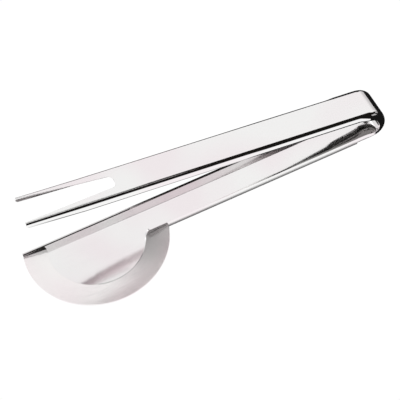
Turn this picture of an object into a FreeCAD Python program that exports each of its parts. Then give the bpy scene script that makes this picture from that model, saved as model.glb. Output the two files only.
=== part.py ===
import FreeCAD, Part

import math
import os

# Serving tongs pressed from stainless sheet: a forked arm above, a half-disc plate arm below,
# and a U-shaped spring bow that joins them. Millimetres.
# The lower arm lies flat on z = 0 along X, with its plate towards -X.
# The bow's axis is parallel to Y and stands over the origin.

sheet = 1.0                 # thickness of the steel
arm_width = 19.0            # across both folds
flange_height = 4.9         # folded edge, measured from the arm's outer face
fold_radius = 1.8           # outer radius of the folds along the arms

bow_radius = 12.0           # outer radius of the spring bow
opening_angle = 9.65        # degrees between the two arms at rest

fork_reach = 205.2          # bow axis to the tip of the far tine
near_tine_extra = 0.8       # the near tine is a little longer
slot_start = 152.5          # bow axis to the closed end of the fork's slot
slot_root_width = 7.4
slot_tip_width = 16.2
slot_corner_radius = 2.8
tine_taper_start = 172.0    # from here the tines' folded edges get lower
tine_tip_height = 3.7
tine_tip_radius = 1.2

plate_centre = 165.8        # bow axis to the centre of the round plate
plate_radius = 41.4
floor_radius = 27.8         # flat middle of the plate
rim_rise = 2.1              # how far the rim climbs outside the flat middle
near_flange_end = 137.5     # bow axis to the end of the folded edge beside the plate
flange_end_radius = 2.0
slit = 0.15                 # gap between that folded edge and the plate's rim

window_depth = 5.2          # how far the side window reaches into the bow, past the bow axis
window_waist = 4.5          # its depth level with the bow axis
window_top = 1.9            # its depth under the upper arm's folded edge
window_corner_radius = 1.4

half_width = arm_width / 2
fold_start = half_width - fold_radius
inner_fold_radius = fold_radius - sheet
bow_axis = FreeCAD.Vector(0, 0, bow_radius)
X = FreeCAD.Vector(1, 0, 0)
Y = FreeCAD.Vector(0, 1, 0)
Z = FreeCAD.Vector(0, 0, 1)
margin = 3.0                # how far cutting tools run past what they cut
past_edges = (-margin, flange_height + margin)      # heights that clear a folded strip


def vec(x, y, z):
    return FreeCAD.Vector(x, y, z)


def plan_prism(points, low, high):
    """Upright block over an outline of (x, y) points, from height low to high."""
    corners = [vec(x, y, low) for x, y in points]
    face = Part.Face(Part.makePolygon(corners + corners[:1]))
    return face.extrude(vec(0, 0, high - low))


def side_prism(points, low_y, high_y):
    """Block over an outline of (x, z) points seen from the side, from low_y to high_y."""
    corners = [vec(x, low_y, z) for x, z in points]
    face = Part.Face(Part.makePolygon(corners + corners[:1]))
    return face.extrude(vec(0, high_y - low_y, 0))


def box(x_range, y_range, z_range):
    low = vec(x_range[0], y_range[0], z_range[0])
    size = [end - start for start, end in (x_range, y_range, z_range)]
    return Part.makeBox(size[0], size[1], size[2], low)


def round_edges(solid, radius, wanted):
    """Fillets the edges whose middle point is wanted."""
    edges = [edge for edge in solid.Edges if wanted(edge.valueAt(sum(edge.ParameterRange) / 2))]
    return solid.makeFillet(radius, edges)


def channel_section(height):
    """Face across a folded strip at x = 0: outer face on z = 0, both edges folded up."""
    inner = half_width - sheet

    def on_circle(y, z, radius, angle):
        return vec(0, y + radius * math.cos(angle), z + radius * math.sin(angle))

    def fold(y, radius, angle):
        """Quarter circle in a corner, with its middle at the given angle."""
        start = on_circle(y, fold_radius, radius, angle - math.pi / 4)
        middle = on_circle(y, fold_radius, radius, angle)
        end = on_circle(y, fold_radius, radius, angle + math.pi / 4)
        return Part.Arc(start, middle, end).toShape()

    def line(a, b):
        return Part.LineSegment(vec(0, a[0], a[1]), vec(0, b[0], b[1])).toShape()

    left = math.radians(225)
    right = math.radians(315)
    edges = [
        line((-half_width, height), (-half_width, fold_radius)),
        fold(-fold_start, fold_radius, left),
        line((-fold_start, 0), (fold_start, 0)),
        fold(fold_start, fold_radius, right),
        line((half_width, fold_radius), (half_width, height)),
        line((half_width, height), (inner, height)),
        line((inner, height), (inner, fold_radius)),
        fold(fold_start, inner_fold_radius, right),
        line((fold_start, sheet), (-fold_start, sheet)),
        fold(-fold_start, inner_fold_radius, left),
        line((-inner, fold_radius), (-inner, height)),
        line((-inner, height), (-half_width, height)),
    ]
    return Part.Face(Part.Wire(Part.__sortEdges__(edges)))


def channel(reach):
    """Folded strip from the bow's end at x = 0 out to x = -reach."""
    return channel_section(flange_height).extrude(vec(-reach, 0, 0))


def turn_to_upper(shape):
    """Turns a strip modelled like the lower arm into the upper arm's place."""
    shape.rotate(bow_axis, X, 180)
    shape.rotate(bow_axis, Y, opening_angle)
    return shape


def fork_slot():
    """The open-ended gap between the two tines, seen in plan."""
    root = slot_root_width / 2
    tip = slot_tip_width / 2
    widening = (tip - root) / (fork_reach - slot_start)
    mouth = fork_reach + 2 * margin
    mouth_half = root + widening * (mouth - slot_start)
    outline = [(-slot_start, -root), (-slot_start, root), (-mouth, mouth_half), (-mouth, -mouth_half)]
    block = plan_prism(outline, past_edges[0], past_edges[1])

    def at_closed_end(point):
        return point.x > -slot_start - 0.01 and abs(point.y) > root - 0.01

    return round_edges(block, slot_corner_radius, at_closed_end)


def fork_arm():
    # Modelled upside down, so the near tine is on the +Y side until the arm is turned over.
    tip = fork_reach + near_tine_extra
    arm = channel(tip).cut(fork_slot())
    far_tine = (-half_width - margin, 0)
    near_tine = (0, half_width + margin)
    arm = arm.cut(box((-tip - margin, -fork_reach), far_tine, past_edges))
    for reach, across in ((fork_reach, far_tine), (tip, near_tine)):
        above_taper = side_prism(
            [
                (-tine_taper_start, flange_height),
                (-reach + tine_tip_radius, tine_tip_height),
                (-reach, tine_tip_height - tine_tip_radius),
                (-reach - margin, 0),
                (-reach - margin, past_edges[1]),
                (-tine_taper_start, past_edges[1]),
            ],
            across[0],
            across[1],
        )
        arm = arm.cut(above_taper)
    return turn_to_upper(arm)


def plate_disc():
    """The whole round plate: a flat middle and a rim that climbs outwards."""
    slope = math.atan2(rim_rise, plate_radius - floor_radius)
    crease = floor_radius - sheet * math.tan(slope / 2)
    section = [
        (0, 0),
        (floor_radius, 0),
        (plate_radius, rim_rise),
        (plate_radius, rim_rise + sheet / math.cos(slope)),
        (crease, sheet),
        (0, sheet),
    ]
    return revolve_about_plate(section)


def revolve_about_plate(section):
    corners = [vec(-plate_centre + r, 0, z) for r, z in section]
    face = Part.Face(Part.makePolygon(corners + corners[:1]))
    return face.revolve(vec(-plate_centre, 0, 0), Z, 360)


def below_rim():
    """The space under the plate's climbing rim."""
    steep = rim_rise / (plate_radius - floor_radius)
    reach = plate_radius + margin
    section = [
        (floor_radius, -margin),
        (reach, -margin),
        (reach, steep * (reach - floor_radius)),
        (floor_radius, 0),
    ]
    return revolve_about_plate(section)


def upright_cylinder(radius):
    height = past_edges[1] - past_edges[0]
    return Part.makeCylinder(radius, height, vec(-plate_centre, 0, past_edges[0]))


def plate_arm():
    reach = plate_centre + plate_radius
    arm = channel(reach)
    far_side = half_width + margin
    tip_side = box((-reach - margin, -plate_centre), (-far_side, far_side), past_edges)
    inside_far_fold = box((-reach - margin, 0), (-far_side, fold_start), past_edges)
    # The plate takes the place of the arm's floor and of its near edge.
    arm = arm.cut(upright_cylinder(floor_radius).common(inside_far_fold))
    arm = arm.cut(tip_side.common(inside_far_fold))
    # At the tip the far edge ends on the plate's outline and stands on its rim.
    arm = arm.cut(tip_side.cut(upright_cylinder(plate_radius)))
    arm = arm.cut(below_rim().common(tip_side))
    near_edge_end = side_prism(
        [
            (-near_flange_end, fold_radius),
            (-near_flange_end, flange_height - flange_end_radius),
            (-near_flange_end + flange_end_radius, flange_height),
            (-near_flange_end + flange_end_radius, past_edges[1]),
            (-plate_centre, past_edges[1]),
            (-plate_centre, fold_radius),
        ],
        -far_side,
        -fold_start,
    )
    return arm.cut(near_edge_end)


def serving_plate(arm):
    outside = plate_centre + plate_radius + margin
    plate = plate_disc()
    plate = plate.cut(box((-outside, 0), (half_width - sheet, outside), past_edges))
    # The flat middle stops where the arm's far fold starts to curve.
    beyond_fold = box((-outside, 0), (fold_start, outside), past_edges)
    plate = plate.cut(upright_cylinder(floor_radius + fold_radius).common(beyond_fold))
    # The arm runs into the plate here, so the rim is left out across the arm's width.
    corridor = box((-plate_centre, 0), (-half_width - slit, outside), past_edges)
    plate = plate.cut(corridor.cut(upright_cylinder(floor_radius)))
    return plate.cut(arm)


def spring_bow():
    """The strip bent round the bow axis, with its edges folded in as cheeks."""
    cheek_depth = bow_radius - window_waist
    bent = channel_section(cheek_depth).revolve(bow_axis, -Y, 180 - opening_angle)
    lean = math.radians(opening_angle)
    edge_distance = bow_radius - flange_height

    def upper_edge(x):
        return bow_radius + (edge_distance - x * math.sin(lean)) / math.cos(lean)

    window = side_prism(
        [
            (-margin, flange_height),
            (window_depth - window_corner_radius, flange_height),
            (window_depth, flange_height + 2 * window_corner_radius),
            (window_waist, bow_radius),
            (window_top, upper_edge(window_top)),
            (-margin, upper_edge(-margin)),
        ],
        -half_width - margin,
        half_width + margin,
    )

    def at_rounded_corner(point):
        return point.y == 0 and point.x > window_top + 0.01

    return bent.cut(round_edges(window, window_corner_radius, at_rounded_corner))


def write(name, shape):
    solids = shape.Solids
    part = solids[0] if len(solids) == 1 else Part.makeCompound(solids)
    size = part.optimalBoundingBox(False, False)
    print(name, "solids", len(solids), "valid", part.isValid(), "volume", round(part.Volume, 1), size)
    part.exportStep(os.path.join("parts", name + ".step"))


os.makedirs("parts", exist_ok=True)
lower = plate_arm()
write("plate_arm", lower)
write("serving_plate", serving_plate(lower))
write("fork_arm", fork_arm())
write("spring_bow", spring_bow())
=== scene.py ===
import math

import bmesh
import bpy
from mathutils import Matrix, Vector


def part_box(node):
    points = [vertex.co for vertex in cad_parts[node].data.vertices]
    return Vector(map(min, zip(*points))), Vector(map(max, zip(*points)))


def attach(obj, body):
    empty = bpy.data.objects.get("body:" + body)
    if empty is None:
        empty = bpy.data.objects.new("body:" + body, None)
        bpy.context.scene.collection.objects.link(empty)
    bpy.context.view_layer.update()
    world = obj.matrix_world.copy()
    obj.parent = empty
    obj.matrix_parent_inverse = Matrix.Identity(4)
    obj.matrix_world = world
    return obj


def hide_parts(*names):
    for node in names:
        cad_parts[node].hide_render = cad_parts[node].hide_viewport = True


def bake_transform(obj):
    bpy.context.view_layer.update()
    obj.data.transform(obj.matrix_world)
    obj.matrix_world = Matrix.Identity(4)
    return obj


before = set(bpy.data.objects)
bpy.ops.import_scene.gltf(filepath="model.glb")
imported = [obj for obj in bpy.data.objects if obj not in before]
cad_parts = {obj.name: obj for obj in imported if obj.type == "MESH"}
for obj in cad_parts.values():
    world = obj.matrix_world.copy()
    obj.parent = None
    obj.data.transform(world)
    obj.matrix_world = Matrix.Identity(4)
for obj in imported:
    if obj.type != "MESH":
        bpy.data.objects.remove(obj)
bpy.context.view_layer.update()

# Serving tongs pressed from stainless sheet. The lower arm lies along X with its plate towards -X
# and its straight side towards +Y. The bow's axis is parallel to Y. "Near" is -Y and "far" is +Y.
MM = 0.001
PLATE_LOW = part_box("serving_plate")[0]
ARM_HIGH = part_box("plate_arm")[1]
BOW_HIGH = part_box("spring_bow")[1]

# How close two points count as touching, as one point, and as lying on a cutting plane.
TOUCHING = 0.01 * MM
SAME_POINT = 0.001 * MM
ON_PLANE = 0.0001 * MM

# The strip and its folded edges.
SHEET = 1.0 * MM
HALF_WIDTH = ARM_HIGH[1]
EDGE_HEIGHT = ARM_HIGH[2]
FOLD = 1.8 * MM
FOLD_STEPS = 8
LIP = 0.6 * MM
LIP_FLARE = 0.22 * MM
CUT_EDGE_ROUND = 0.14 * MM
CUT_EDGE_STEPS = 2
HOLLOW = 3.5 * MM           # the middle of the strip's hollow side, from its outer face

# The spring bow. Its shoulders are rounder and stand out a little wider than the arms.
BOW_RADIUS = BOW_HIGH[0]
BOW_AXIS = Vector((0, 0, BOW_RADIUS))
OPENING = math.radians(9.65)
BOW_TURN = math.pi - OPENING
BOW_STEPS = 90
BOW_STUB = 6.0 * MM         # straight length at each end of the bow
LOWER_WAY = Vector((-1, 0, 0))
UPPER_WAY = Vector((-math.cos(OPENING), 0, math.sin(OPENING)))
CHEEK_DEPTH = 7.3 * MM
WINDOW_REACH = 4.9 * MM     # least distance from the bow axis to the side window's edge
WINDOW_FAR = 60 * MM        # stands for no crossing at all
BOW_FOLD = 3.4 * MM
BOW_FLARE = 1.25 * MM
BOW_BULGE = 1.1 * MM
BULGE_MIDDLE = 0.95         # radians from straight down
SWELL_SHARE = 0.3           # share of the bend over which the lower shoulders swell
SHOULDER_START = 19.0 * MM
SHOULDER_FULL = 12.5 * MM
SHOULDER_CUTS = 9

# The round plate.
PLATE_RADIUS = -PLATE_LOW[1]
PLATE_X = PLATE_LOW[0] + PLATE_RADIUS
PLATE_FLAT = 27.8 * MM
PLATE_STEPS = 150
RIM_RISE = 2.1 * MM
CREASE_RISE = 0.25 * MM
CREASE_WIDTH = 0.4 * MM
CREASE_SOFT = RIM_RISE * CREASE_WIDTH / (PLATE_RADIUS - PLATE_FLAT)

# The near folded edge beside the plate, and the line where the arm's floor leaves it.
NEAR_EDGE_END = 137.5 * MM
NEAR_WALL_END = -NEAR_EDGE_END - 0.7 * MM
NEAR_LIP_END = -NEAR_EDGE_END + 0.5 * MM
SLIT = 0.15 * MM
NOTCH = HALF_WIDTH - FOLD - 0.05 * MM
NEAR_FOLD_END = PLATE_X + math.sqrt(PLATE_FLAT ** 2 - NOTCH ** 2)

# The fork.
TINE_REACH = 205.2 * MM
NEAR_TINE_EXTRA = 0.8 * MM
TINE_FOLD = 1.2 * MM
TINE_TIP_HEIGHT = 3.7 * MM
TINE_TIP_ROUND = 1.2 * MM
TAPER_START = 172.0 * MM
SLOT_START = 152.5 * MM
SLOT_ROOT = 3.7 * MM
SLOT_TIP = 8.1 * MM
SLOT_TIP_START = 7.6 * MM   # before the tips' folds are tightened
SLOT_CORNER = 2.6 * MM
SLOT_CORNER_STEPS = 8
UNDERCUT_ROOT = 0.5 * MM
UNDERCUT_LESS = 0.3 * MM    # how much smaller the undercut is at the tips

SHARP_CORNER = math.radians(50)
SHARP_SHADING = math.radians(17)

# Places of the finishes, and of the inside steel with painted shade, in a piece's list of materials.
INSIDE = 1
RIM = 1
PLATE_MIDDLE = 2


def smooth(share):
    share = max(0.0, min(1.0, share))
    return share * share * (3 - 2 * share)


def near(value, target, slack=TOUCHING):
    return abs(value - target) < slack


def ends(edge):
    return edge.verts[0].co, edge.verts[1].co


def only(kind, geometry):
    return [item for item in geometry if isinstance(item, kind)]


def bevel(bm, geom, offset, segments, affect="EDGES"):
    bmesh.ops.bevel(
        bm,
        geom=geom,
        offset=offset,
        offset_type="OFFSET",
        affect=affect,
        segments=segments,
        profile=0.5,
        material=-1,
        clamp_overlap=True,
    )


def cut(bm, place, across, clear_outer=False):
    """Cuts the sheet along a plane, and can throw away what lies beyond it."""
    bmesh.ops.bisect_plane(
        bm,
        geom=bm.verts[:] + bm.edges[:] + bm.faces[:],
        dist=ON_PLANE,
        plane_co=place,
        plane_no=across,
        clear_outer=clear_outer,
    )


def open_edges_along(bm, y):
    """The sheet's open edges that run along a line beside the middle."""
    found = []
    for edge in bm.edges:
        a, b = ends(edge)
        if edge.is_boundary and near(a.y, y) and near(b.y, y):
            found.append(edge)
    return found


def pull_out(bm, edges, height, out=(0.0, 0.0)):
    """Continues the sheet from these edges up to a height, leaning out on the near and far sides."""
    made = bmesh.ops.extrude_edge_only(bm, edges=edges)["geom"]
    verts = only(bmesh.types.BMVert, made)
    for vert in verts:
        vert.co.z = height
        vert.co.y += out[1] if vert.co.y > 0 else -out[0]
    heads = []
    for edge in only(bmesh.types.BMEdge, made):
        if all(near(vert.co.z, height) for vert in edge.verts):
            heads.append(edge)
    return verts, heads


def raise_edges(bm, edges, flare):
    """Pulls the strip's outline up into a folded edge with a slightly flared lip."""
    wall, heads = pull_out(bm, edges, EDGE_HEIGHT - LIP)
    lip = pull_out(bm, heads, EDGE_HEIGHT, flare)[0]
    return wall, lip


def thicken(bm):
    """Gives the pressed surface the sheet's thickness on the inside."""
    bmesh.ops.remove_doubles(bm, verts=bm.verts[:], dist=SAME_POINT)
    bmesh.ops.solidify(bm, geom=bm.faces[:], thickness=SHEET)


def round_cut_edges(bm, is_joint):
    """Breaks the sharp cut edges a little, but not where one piece runs into the next."""
    sharp = []
    for edge in bm.edges:
        if len(edge.link_faces) != 2 or edge.calc_face_angle() < SHARP_CORNER:
            continue
        if not all(is_joint(vert.co) for vert in edge.verts):
            sharp.append(edge)
    bevel(bm, sharp, CUT_EDGE_ROUND, CUT_EDGE_STEPS)


def at_lower_joint(co):
    return near(co.x, -BOW_STUB)


def to_piece(bm, name):
    bmesh.ops.recalc_face_normals(bm, faces=bm.faces[:])
    mesh = bpy.data.meshes.new(name)
    bm.to_mesh(mesh)
    bm.free()
    mesh.shade_smooth()
    mesh.set_sharp_from_angle(angle=SHARP_SHADING)
    piece = bpy.data.objects.new(name, mesh)
    bpy.context.collection.objects.link(piece)
    even = piece.modifiers.new("Even shading", "WEIGHTED_NORMAL")
    even.mode = "FACE_AREA"
    even.weight = 100
    even.keep_sharp = True
    return piece


# The fork is made lying upside down, like the lower arm, so its far tine is on the -Y side
# until the arm is turned over.


def turn_to_upper(bm):
    over = Matrix.Rotation(math.pi, 4, "X")
    open_up = Matrix.Rotation(OPENING, 4, "Y")
    about_bow = Matrix.Translation(BOW_AXIS) @ open_up @ over @ Matrix.Translation(-BOW_AXIS)
    bmesh.ops.transform(bm, matrix=about_bow, verts=bm.verts[:])


def at_tine_tip(vert):
    return vert.co.x < -TINE_REACH + 1 * MM


def fork_outline(bm):
    outline = [
        (-BOW_STUB, -HALF_WIDTH),
        (-BOW_STUB, HALF_WIDTH),
        (-TAPER_START, HALF_WIDTH),
        (-TINE_REACH - NEAR_TINE_EXTRA, HALF_WIDTH),
        (-TINE_REACH - NEAR_TINE_EXTRA, SLOT_TIP_START),
        (-SLOT_START, SLOT_ROOT),
        (-SLOT_START, -SLOT_ROOT),
        (-TINE_REACH, -SLOT_TIP_START),
        (-TINE_REACH, -HALF_WIDTH),
        (-TAPER_START, -HALF_WIDTH),
    ]
    bm.faces.new([bm.verts.new((x, y, 0)) for x, y in outline])
    corners = [vert for vert in bm.verts if near(vert.co.x, -SLOT_START)]
    bevel(bm, corners, SLOT_CORNER, SLOT_CORNER_STEPS, "VERTICES")


def fold_fork(bm):
    """Folds both sides up, lower at the tips of the tines."""
    sides = []
    for edge in bm.edges:
        a, b = ends(edge)
        on_side = near(abs(a.y), HALF_WIDTH) and near(abs(b.y), HALF_WIDTH)
        if on_side and not near(a.x, b.x):
            sides.append(edge)
    wall, lip = raise_edges(bm, sides, (LIP_FLARE, LIP_FLARE))
    for vert in filter(at_tine_tip, wall):
        vert.co.z = TINE_TIP_HEIGHT - TINE_TIP_ROUND
    for vert in filter(at_tine_tip, lip):
        vert.co.z = TINE_TIP_HEIGHT
        vert.co.x += TINE_TIP_ROUND
        vert.co.y -= math.copysign(LIP_FLARE, vert.co.y)
    folds = []
    for edge in bm.edges:
        if all(near(abs(vert.co.y), HALF_WIDTH) and near(vert.co.z, 0) for vert in edge.verts):
            folds.append(edge)
    bevel(bm, folds, FOLD, FOLD_STEPS)


def tighten_fold(vert):
    """Moves a point of a tine's fold onto a tighter arc, and the slot's edge out to its place."""
    side = 1 if vert.co.y > 0 else -1
    across = (abs(vert.co.y) - (HALF_WIDTH - FOLD)) / FOLD
    up = (FOLD - vert.co.z) / FOLD
    if across < -0.01:
        vert.co.y = side * SLOT_TIP
    elif up > -0.01:
        vert.co.y = side * (HALF_WIDTH - TINE_FOLD + TINE_FOLD * across)
        vert.co.z = TINE_FOLD - TINE_FOLD * up


def swell_shoulder(bm):
    """Widens the far fold towards the bow."""
    step = (SHOULDER_START - BOW_STUB) / SHOULDER_CUTS
    for number in range(1, SHOULDER_CUTS + 1):
        cut(bm, (-BOW_STUB - number * step, 0, 0), (1, 0, 0))
    for vert in bm.verts:
        co = vert.co
        if co.x < -SHOULDER_START or co.y > 0:
            continue
        swell = smooth((co.x + SHOULDER_START) / (SHOULDER_START - SHOULDER_FULL))
        fold = FOLD + swell * (BOW_FOLD - FOLD)
        half = HALF_WIDTH + swell * BOW_FLARE
        if co.z > FOLD + TOUCHING:
            co.y -= half - HALF_WIDTH
            continue
        across = (-co.y - (HALF_WIDTH - FOLD)) / FOLD
        if across > -0.01:
            co.y = -(half - fold + fold * across)
            co.z = co.z / FOLD * fold


def undercut_slot(bm):
    """Grinds the slot's sides back underneath, so that the tines look thin from above."""
    for vert in bm.verts:
        co = vert.co
        in_slot = co.x < -SLOT_START + SLOT_CORNER and abs(co.y) < SLOT_TIP + 0.02 * MM
        if in_slot and near(co.z, SHEET, 0.1 * MM):
            to_tip = smooth((-co.x - SLOT_START) / (TINE_REACH - SLOT_START))
            co.y += math.copysign(UNDERCUT_ROOT - UNDERCUT_LESS * to_tip, co.y)


def fork_strip():
    bm = bmesh.new()
    fork_outline(bm)
    fold_fork(bm)
    # Towards the tips the tines are narrower than the folds, so the folds get tighter there.
    for vert in filter(at_tine_tip, bm.verts):
        tighten_fold(vert)
    bmesh.ops.recalc_face_normals(bm, faces=bm.faces[:])
    swell_shoulder(bm)
    bmesh.ops.recalc_face_normals(bm, faces=bm.faces[:])
    thicken(bm)
    undercut_slot(bm)
    round_cut_edges(bm, at_lower_joint)
    # The hollow side gets the inside steel, with shade painted into its colour near the bow.
    for face in bm.faces:
        middle = face.calc_center_median()
        hollow = Vector((middle.x, 0, HOLLOW))
        if face.normal.dot(hollow - middle) > 0:
            face.material_index = INSIDE
    turn_to_upper(bm)
    return to_piece(bm, "fork_strip")


def from_plate_centre(co):
    return math.hypot(co.x - PLATE_X, co.y)


def plate_disc(bm):
    """Spins the whole round plate: a flat middle, a crease and a rim that climbs outwards."""
    line = (
        (0, 0),
        (PLATE_FLAT, 0),
        (PLATE_FLAT + CREASE_WIDTH, CREASE_RISE),
        (PLATE_RADIUS, RIM_RISE),
    )
    profile = [bm.verts.new((PLATE_X + r, 0, z)) for r, z in line]
    edges = [bm.edges.new(pair) for pair in zip(profile, profile[1:])]
    bmesh.ops.spin(
        bm,
        geom=profile + edges,
        cent=(PLATE_X, 0, 0),
        axis=(0, 0, 1),
        angle=2 * math.pi,
        steps=PLATE_STEPS,
        use_merge=True,
    )
    bmesh.ops.remove_doubles(bm, verts=bm.verts[:], dist=SAME_POINT)
    # The crease is crisp on the side towards the arm and washes out towards the tip.
    for vert in bm.verts:
        if near(vert.co.z, CREASE_RISE):
            turn = math.degrees(math.atan2(vert.co.y, vert.co.x - PLATE_X))
            crisp = smooth((turn + 120) / 15) if turn < 0 else 1 - smooth((turn - 60) / 60)
            vert.co.z = CREASE_SOFT + crisp * (CREASE_RISE - CREASE_SOFT)


def clear_for_arm(bm):
    """Cuts the straight far side, and takes away the rim where the arm runs into the plate."""
    cut(bm, (0, HALF_WIDTH, 0), (0, 1, 0), clear_outer=True)
    cut(bm, (0, -HALF_WIDTH - SLIT, 0), (0, 1, 0))
    cut(bm, (0, -NOTCH, 0), (0, 1, 0))
    in_the_way = []
    for face in bm.faces:
        middle = face.calc_center_median()
        across_arm = middle.x > PLATE_X and middle.y > -HALF_WIDTH - SLIT
        if across_arm and from_plate_centre(middle) > PLATE_FLAT:
            in_the_way.append(face)
    bmesh.ops.delete(bm, geom=in_the_way, context="FACES")


def run_arm_out(bm):
    """Pulls the arm's floor out of the flat middle as far as the bow, then widens its near side."""
    mouth = []
    for edge in bm.edges:
        a, b = ends(edge)
        on_flat = all(near(from_plate_centre(co), PLATE_FLAT, 0.05 * MM) for co in (a, b))
        faces_arm = (a.x + b.x) / 2 > PLATE_X and (a.y + b.y) / 2 > -NOTCH
        if edge.is_boundary and on_flat and faces_arm:
            mouth.append(edge)
    for x in (-NEAR_EDGE_END, -BOW_STUB):
        made = bmesh.ops.extrude_edge_only(bm, edges=mouth)["geom"]
        for vert in only(bmesh.types.BMVert, made):
            vert.co.x = x
        mouth = []
        for edge in only(bmesh.types.BMEdge, made):
            if all(near(vert.co.x, x) for vert in edge.verts):
                mouth.append(edge)
    near_side = [edge for edge in open_edges_along(bm, -NOTCH) if past_near_fold_end(edge)]
    made = bmesh.ops.extrude_edge_only(bm, edges=near_side)["geom"]
    for vert in only(bmesh.types.BMVert, made):
        vert.co.y = -HALF_WIDTH


def past_near_fold_end(edge):
    return min(co.x for co in ends(edge)) > NEAR_FOLD_END - TOUCHING


def fold_plate_arm(bm):
    """Folds up the whole far side, and the near side from the plate to the bow."""
    on_near = []
    for edge in open_edges_along(bm, -HALF_WIDTH):
        a, b = ends(edge)
        if past_near_fold_end(edge) and not near(a.x, b.x):
            on_near.append(edge)
    on_far = open_edges_along(bm, HALF_WIDTH)
    feet = set(vert for edge in on_near + on_far for vert in edge.verts)
    wall, lip = raise_edges(bm, on_near + on_far, (0.0, LIP_FLARE))
    for verts, end in ((wall, NEAR_WALL_END), (lip, NEAR_LIP_END)):
        for vert in verts:
            if near(vert.co.x, NEAR_FOLD_END) and vert.co.y < 0:
                vert.co.x = end
    folds = []
    for edge in bm.edges:
        a, b = ends(edge)
        joins_feet = all(vert in feet for vert in edge.verts) and len(edge.link_faces) == 2
        if joins_feet and near(a.y, b.y):
            folds.append(edge)
    bevel(bm, folds, FOLD, FOLD_STEPS)


def plate_strip():
    bm = bmesh.new()
    plate_disc(bm)
    clear_for_arm(bm)
    run_arm_out(bm)
    fold_plate_arm(bm)
    bmesh.ops.recalc_face_normals(bm, faces=bm.faces[:])
    largest = max(bm.faces, key=lambda face: face.calc_area())
    if largest.normal.z > 0:
        bmesh.ops.reverse_faces(bm, faces=bm.faces[:])
    thicken(bm)
    round_cut_edges(bm, at_lower_joint)
    for face in bm.faces:
        middle = face.calc_center_median()
        away = from_plate_centre(middle)
        beside_arm = middle.x < PLATE_X or middle.y < -HALF_WIDTH
        if away > PLATE_FLAT and beside_arm and middle.y < NOTCH and face.normal.z > 0.5:
            face.material_index = RIM
        elif away < PLATE_FLAT and middle.z > SHEET / 2 and face.normal.z > 0.9:
            face.material_index = PLATE_MIDDLE
    return to_piece(bm, "plate_strip")


def window_radius(angle):
    """How far the side window's outline is from the bow axis, seen along the angle from straight down."""
    direction = Vector((math.sin(angle), -math.cos(angle)))
    edge = BOW_RADIUS - EDGE_HEIGHT
    lean = Vector((math.sin(OPENING), math.cos(OPENING)))
    reaches = [WINDOW_REACH]
    if direction.y < 0:
        reaches.append(min(edge / -direction.y, WINDOW_FAR))
    if direction.dot(lean) > 0:
        reaches.append(min(edge / direction.dot(lean), WINDOW_FAR))
    return min(max(reaches), edge)


def bend_share(co):
    """How far round the bow a point is: 0 on the lower straight end, 1 on the upper one."""
    from_axis = co - BOW_AXIS
    if from_axis.dot(UPPER_WAY) > -SAME_POINT and co.z > BOW_RADIUS:
        return 1
    if co.x < SAME_POINT and co.z < BOW_RADIUS:
        return 0
    return math.atan2(from_axis.x, -from_axis.z) / BOW_TURN


def shape_bow(bm):
    """Opens the folds into the rounder shoulders of the bow and cuts the cheeks to the window."""
    for vert in bm.verts:
        co = vert.co
        from_axis = co - BOW_AXIS
        angle = math.atan2(from_axis.x, -from_axis.z)
        share = bend_share(co)
        if share == 0:
            outward = Vector((0, 0, -1))
            swell = 0
        elif share == 1:
            outward = Vector((math.sin(OPENING), 0, math.cos(OPENING)))
            along = from_axis.dot(UPPER_WAY)
            swell = 1 if co.y > 0 else 1 - smooth(along / BOW_STUB)
        else:
            outward = Vector((math.sin(angle), 0, -math.cos(angle)))
            swell = smooth(share / SWELL_SHARE)
        reach = from_axis.dot(outward)
        foot = from_axis - outward * reach
        foot.y = 0
        side = 1 if co.y > 0 else -1
        depth = BOW_RADIUS - reach
        fold = FOLD + swell * (BOW_FOLD - FOLD)
        half = HALF_WIDTH + swell * BOW_FLARE
        if depth > FOLD + 0.05 * MM:
            on_lip = abs(co.y) > HALF_WIDTH + LIP_FLARE / 2
            lip = LIP_FLARE if side > 0 else LIP_FLARE * smooth(2 * share - 1)
            y = half + (lip if on_lip else 0)
            depth = EDGE_HEIGHT if share in (0, 1) else BOW_RADIUS - window_radius(angle)
            if not on_lip:
                depth -= LIP
        else:
            across = (abs(co.y) - (HALF_WIDTH - FOLD)) / FOLD
            down = (FOLD - depth) / FOLD
            y = half - fold + fold * across
            depth = fold - fold * down
        bulge = 0
        if share not in (0, 1):
            bulge = BOW_BULGE * smooth(1 - abs(angle - BULGE_MIDDLE) / BULGE_MIDDLE)
        place = BOW_AXIS + foot + outward * (BOW_RADIUS + bulge - depth)
        vert.co = Vector((place.x, side * y, place.z))


def at_bow_end(co):
    if co.z < BOW_RADIUS:
        return at_lower_joint(co)
    return near((co - BOW_AXIS).dot(UPPER_WAY), BOW_STUB)


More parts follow.
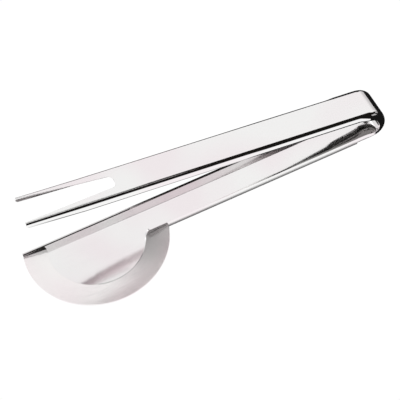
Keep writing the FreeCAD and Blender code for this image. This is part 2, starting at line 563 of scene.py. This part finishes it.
def spring_strip():
    bm = bmesh.new()
    outline = [
        (-HALF_WIDTH - LIP_FLARE, CHEEK_DEPTH),
        (-HALF_WIDTH, CHEEK_DEPTH - LIP),
        (-HALF_WIDTH, 0),
        (HALF_WIDTH, 0),
        (HALF_WIDTH, CHEEK_DEPTH - LIP),
        (HALF_WIDTH + LIP_FLARE, CHEEK_DEPTH),
    ]
    section = [bm.verts.new((0, y, z)) for y, z in outline]
    edges = [bm.edges.new(pair) for pair in zip(section, section[1:])]
    last = bmesh.ops.spin(
        bm,
        geom=section + edges,
        cent=BOW_AXIS,
        axis=(0, -1, 0),
        angle=BOW_TURN,
        steps=BOW_STEPS,
    )["geom_last"]
    for end_edges, way in ((edges, LOWER_WAY), (only(bmesh.types.BMEdge, last), UPPER_WAY)):
        made = bmesh.ops.extrude_edge_only(bm, edges=end_edges)["geom"]
        bmesh.ops.translate(bm, vec=way * BOW_STUB, verts=only(bmesh.types.BMVert, made))
    bmesh.ops.remove_doubles(bm, verts=bm.verts[:], dist=SAME_POINT)
    folds = []
    for edge in bm.edges:
        if len(edge.link_faces) == 2 and edge.calc_face_angle() > math.radians(60):
            folds.append(edge)
    bevel(bm, folds, FOLD, FOLD_STEPS)
    shape_bow(bm)
    bmesh.ops.recalc_face_normals(bm, faces=bm.faces[:])
    outermost = max(bm.faces, key=lambda face: face.calc_center_median().x)
    if outermost.normal.x < 0:
        bmesh.ops.reverse_faces(bm, faces=bm.faces[:])
    thicken(bm)
    round_cut_edges(bm, at_bow_end)
    # The hollow side gets the inside steel, with shade painted into its colour near the bow.
    for face in bm.faces:
        middle = face.calc_center_median()
        outward = middle - BOW_AXIS
        outward.y = 0
        outward.normalize()
        hollow = BOW_AXIS + outward * (BOW_RADIUS - HOLLOW)
        if outward.z > -0.5 and face.normal.dot(hollow - middle) > 0:
            face.material_index = INSIDE
    return to_piece(bm, "spring_strip")


def calculate(tree, operation, *values):
    """A Math node fed with sockets or plain numbers."""
    node = tree.nodes.new("ShaderNodeMath")
    node.operation = operation
    for slot, value in zip(node.inputs, values):
        if isinstance(value, bpy.types.NodeSocket):
            tree.links.new(value, slot)
        else:
            slot.default_value = value
    return node.outputs["Value"]


def fade(tree, value, start, end):
    """Rises smoothly from 0 at the start to 1 at the end."""
    node = tree.nodes.new("ShaderNodeMapRange")
    node.interpolation_type = "SMOOTHSTEP"
    node.inputs["From Min"].default_value = start
    node.inputs["From Max"].default_value = end
    tree.links.new(value, node.inputs["Value"])
    return node.outputs["Result"]


def object_place(tree):
    return tree.nodes.new("ShaderNodeTexCoord").outputs["Object"]


def object_axes(tree):
    parts = tree.nodes.new("ShaderNodeSeparateXYZ")
    tree.links.new(object_place(tree), parts.inputs["Vector"])
    return parts.outputs


def noise(tree, place, scale, detail):
    node = tree.nodes.new("ShaderNodeTexNoise")
    node.inputs["Scale"].default_value = scale
    node.inputs["Detail"].default_value = detail
    tree.links.new(place, node.inputs["Vector"])
    return node.outputs["Fac"]


def steel(name, colour, roughness):
    """Steel with fine polishing marks along the strip and a faint warm cloudiness."""
    material = bpy.data.materials.new(name)
    material.use_nodes = True
    tree = material.node_tree
    shader = tree.nodes["Principled BSDF"]
    shader.inputs["Metallic"].default_value = 1.0
    along = tree.nodes.new("ShaderNodeMapping")
    along.inputs["Scale"].default_value = (12, 900, 900)
    tree.links.new(object_place(tree), along.inputs["Vector"])
    marks = noise(tree, along.outputs["Vector"], 3.0, 3.0)
    patches = noise(tree, object_place(tree), 22.0, 1.0)
    tint = tree.nodes.new("ShaderNodeValToRGB")
    clean, cloudy = tint.color_ramp.elements
    clean.position = 0.40
    clean.color = (*colour, 1)
    cloudy.position = 0.62
    cloudy.color = (colour[0] * 0.985, colour[1] * 0.925, colour[2] * 0.95, 1)
    tree.links.new(patches, tint.inputs["Fac"])
    tree.links.new(tint.outputs["Color"], shader.inputs["Base Color"])
    gloss = tree.nodes.new("ShaderNodeMapRange")
    gloss.inputs["From Min"].default_value = 0.3
    gloss.inputs["From Max"].default_value = 0.7
    gloss.inputs["To Min"].default_value = roughness * 0.8
    gloss.inputs["To Max"].default_value = roughness * 1.25
    tree.links.new(marks, gloss.inputs["Value"])
    tree.links.new(gloss.outputs["Result"], shader.inputs["Roughness"])
    bump = tree.nodes.new("ShaderNodeBump")
    bump.inputs["Strength"].default_value = 0.02
    bump.inputs["Distance"].default_value = 0.02 * MM
    tree.links.new(marks, bump.inputs["Height"])
    tree.links.new(bump.outputs["Normal"], shader.inputs["Normal"])
    return material


def painted_shade_inside(material):
    """Paints shade into the inside's colour: it grows darker towards the bow, where the inside of the bow
    lies in shade.
    """
    tree = material.node_tree
    shader = tree.nodes["Principled BSDF"]
    tint = shader.inputs["Base Color"].links[0].from_socket
    # Painted shade: the colour darkens from X = -70 mm to X = -20 mm, towards the bow.
    painted_shade_mix = tree.nodes.new("ShaderNodeMixRGB")
    painted_shade_mix.inputs["Color2"].default_value = (0.22, 0.215, 0.21, 1)
    tree.links.new(fade(tree, object_axes(tree)["X"], -70 * MM, -20 * MM), painted_shade_mix.inputs["Fac"])
    tree.links.new(tint, painted_shade_mix.inputs["Color1"])
    tree.links.new(painted_shade_mix.outputs["Color"], shader.inputs["Base Color"])
    return material


PALE = 1.02                 # brightness of the floor and the room to the eye
DARKEST_FLOOR = 0.009
CONTACT_REACH = 2.2 * MM
CONTACT_DEPTH = 5.0


def floor_shade(tree):
    """How bright the steel sees the floor: dark past the bow, far in front and in contact."""
    axes = object_axes(tree)
    lit = calculate(
        tree,
        "MULTIPLY",
        fade(tree, axes["X"], 7.0 * MM, 4.5 * MM),
        fade(tree, axes["Y"], -90 * MM, -55 * MM),
    )
    # Beside the bow only a narrow strip of the floor is lit, so the inside of the bow stays dark.
    near_arm = fade(tree, calculate(tree, "ABSOLUTE", axes["Y"]), 41 * MM, 35 * MM)
    past_bow = fade(tree, axes["X"], -45 * MM, -60 * MM)
    lit = calculate(tree, "MULTIPLY", lit, calculate(tree, "MAXIMUM", near_arm, past_bow))
    contact = tree.nodes.new("ShaderNodeAmbientOcclusion")
    contact.inputs["Distance"].default_value = CONTACT_REACH
    contact.samples = 12
    open_floor = calculate(tree, "POWER", contact.outputs["AO"], CONTACT_DEPTH)
    lit = calculate(tree, "MULTIPLY", lit, open_floor)
    return calculate(tree, "MAXIMUM", lit, DARKEST_FLOOR)


def floor():
    bm = bmesh.new()
    bmesh.ops.create_circle(bm, cap_ends=True, segments=96, radius=3.0)
    mesh = bpy.data.meshes.new("floor")
    bm.to_mesh(mesh)
    bm.free()
    sheet = bpy.data.objects.new("floor", mesh)
    sheet.location = (0, 0, -0.2 * MM)
    bpy.context.collection.objects.link(sheet)
    material = bpy.data.materials.new("white_floor")
    material.use_nodes = True
    tree = material.node_tree
    tree.nodes.clear()
    path = tree.nodes.new("ShaderNodeLightPath")
    bright = tree.nodes.new("ShaderNodeEmission")
    bright.inputs["Strength"].default_value = PALE
    seen = tree.nodes.new("ShaderNodeEmission")
    tree.links.new(floor_shade(tree), seen.inputs["Strength"])
    mix = tree.nodes.new("ShaderNodeMixShader")
    tree.links.new(path.outputs["Is Camera Ray"], mix.inputs["Fac"])
    tree.links.new(seen.outputs["Emission"], mix.inputs[1])
    tree.links.new(bright.outputs["Emission"], mix.inputs[2])
    out = tree.nodes.new("ShaderNodeOutputMaterial")
    tree.links.new(mix.outputs["Shader"], out.inputs["Surface"])
    mesh.materials.append(material)


def studio():
    """A pale room that is dark where the steel mirrors it, between the softboxes."""
    world = bpy.data.worlds.new("studio")
    bpy.context.scene.world = world
    world.use_nodes = True
    tree = world.node_tree
    tree.nodes.clear()
    path = tree.nodes.new("ShaderNodeLightPath")
    pale = tree.nodes.new("ShaderNodeBackground")
    pale.inputs["Color"].default_value = (1, 1, 1, 1)
    pale.inputs["Strength"].default_value = PALE
    dark = tree.nodes.new("ShaderNodeBackground")
    dark.inputs["Color"].default_value = (0.009, 0.008, 0.007, 1)
    mix = tree.nodes.new("ShaderNodeMixShader")
    tree.links.new(path.outputs["Is Camera Ray"], mix.inputs["Fac"])
    tree.links.new(dark.outputs["Background"], mix.inputs[1])
    tree.links.new(pale.outputs["Background"], mix.inputs[2])
    out = tree.nodes.new("ShaderNodeOutputWorld")
    tree.links.new(mix.outputs["Shader"], out.inputs["Surface"])


def softbox(name, centre, right, up, sideways, upright, radiance, distance=3.0):
    """A panel of light that fills the given ranges beside and above its centre line."""
    middle = centre + right * sum(sideways) / 2 + up * sum(upright) / 2
    width = (sideways[1] - sideways[0]) * distance
    height = (upright[1] - upright[0]) * distance
    light = bpy.data.lights.new(name, "AREA")
    light.shape = "RECTANGLE"
    light.size = width
    light.size_y = height
    light.energy = math.pi * radiance * width * height
    lamp = bpy.data.objects.new(name, light)
    bpy.context.collection.objects.link(lamp)
    turn = Matrix((-right, up, centre)).transposed().to_4x4()
    lamp.matrix_world = Matrix.Translation(middle * distance) @ turn
    return lamp


def panel(name, direction, half_x, half_y, radiance, distance=3.0):
    """A softbox round a direction, with its first side as near as can be to X."""
    centre = Vector(direction).normalized()
    along = Vector((1, 0, 0))
    along = (along - centre * along.dot(centre)).normalized()
    up = centre.cross(-along)
    return softbox(name, centre, -along, up, (-half_x, half_x), (-half_y, half_y), radiance, distance)


KEY_DIRECTION = (0.381, 0.6017, 0.702)
KEY_SIDEWAYS = (-0.46, 1.0)
KEY_UPRIGHT = (-0.34, 0.37)
KEY_RADIANCE = 0.93

# Below the key softbox the light falls off in steps: bottom, top, radiance.
SIDE_SIDEWAYS = (0.25, 1.0)
SIDE_STEPS = (
    (-0.42, -0.34, 0.88),
    (-0.50, -0.42, 0.80),
    (-0.60, -0.50, 0.71),
    (-0.95, -0.60, 0.62),
)

# The other softboxes: name, direction, half sizes as shares of the distance, radiance.
PANELS = (
    ("front_strip", (0.13, -0.54, 0.83), 0.30, 0.055, 0.80),
    ("tine_fill", (0.29, -0.29, 0.905), 0.08, 0.10, 0.55),
    ("left_softbox", (-0.85, 0.0, 0.53), 0.35, 0.9, 0.80),
    ("low_left_softbox", (-0.35, -0.87, 0.35), 0.33, 0.22, 0.70),
    ("low_right_softbox", (0.72, -0.66, 0.20), 0.20, 0.18, 0.45),
    ("top_softbox", (-0.12, 0.15, 0.98), 0.18, 0.20, 0.80),
    ("top_strip", (0.32, 0.10, 0.94), 0.08, 0.16, 0.80),
    ("back_left_softbox", (-0.45, 0.70, 0.55), 0.24, 0.30, 0.80),
    ("low_back_softbox", (-0.25, 0.93, 0.22), 0.36, 0.16, 0.75),
    ("bow_side_softbox", (0.95, -0.02, 0.24), 0.13, 0.24, 0.42),
)


def lights():
    centre = Vector(KEY_DIRECTION).normalized()
    right = Vector((centre.y, -centre.x, 0)).normalized()
    up = right.cross(centre)
    softbox("key_softbox", centre, right, up, KEY_SIDEWAYS, KEY_UPRIGHT, KEY_RADIANCE)
    for low, high, radiance in SIDE_STEPS:
        softbox("side_softbox", centre, right, up, SIDE_SIDEWAYS, (low, high), radiance)
    for name, direction, half_x, half_y, radiance in PANELS:
        panel(name, direction, half_x, half_y, radiance)
    # A small panel close above the plate lights what the fork's underside mirrors there.
    fill = panel("plate_fill", (-0.18, -0.44, 0.87), 0.12, 0.16, 0.85, 0.35)
    fill.location.x += PLATE_X
    fill.location.y -= 15 * MM
    fill.visible_camera = False


CAMERA_PLACE = (-249.193, -433.192, 685.497)
CAMERA_RIGHT = (0.9015, -0.4261, -0.0753)
CAMERA_BACK = (-0.1782, -0.5243, 0.8327)
CAMERA_LENS = 130.935
CAMERA_SENSOR = 36


def camera():
    data = bpy.data.cameras.new("camera")
    data.lens = CAMERA_LENS
    data.sensor_width = CAMERA_SENSOR
    view = bpy.data.objects.new("camera", data)
    bpy.context.collection.objects.link(view)
    right = Vector(CAMERA_RIGHT).normalized()
    back = Vector(CAMERA_BACK).normalized()
    up = back.cross(right).normalized()
    right = up.cross(back)
    turn = Matrix((right, up, back)).transposed().to_4x4()
    view.matrix_world = Matrix.Translation(Vector(CAMERA_PLACE) * MM) @ turn
    bpy.context.scene.camera = view


camera()
floor()
studio()
lights()
bpy.context.scene.view_settings.view_transform = "Standard"

POLISHED = (0.93, 0.925, 0.92)
SATIN = (0.97, 0.955, 0.945)
arm_finish = steel("polished_steel", POLISHED, 0.07)
# The inside steel is a little rougher, and has shade painted into its colour near the bow.
inside_painted_shade = painted_shade_inside(steel("inside_steel_painted_shade", POLISHED, 0.09))
satin_finish = steel("satin_steel", SATIN, 0.20)
middle_finish = steel("plate_middle_steel", POLISHED, 0.10)

fork = fork_strip()
fork.data.materials.append(arm_finish)
fork.data.materials.append(inside_painted_shade)
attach(fork, "fork_side")
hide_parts("fork_arm")

plate = plate_strip()
plate.data.materials.append(arm_finish)
plate.data.materials.append(satin_finish)
plate.data.materials.append(middle_finish)
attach(plate, "plate_side")
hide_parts("plate_arm", "serving_plate")

bow = spring_strip()
bow.data.materials.append(arm_finish)
bow.data.materials.append(inside_painted_shade)
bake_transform(bow)
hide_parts("spring_bow")
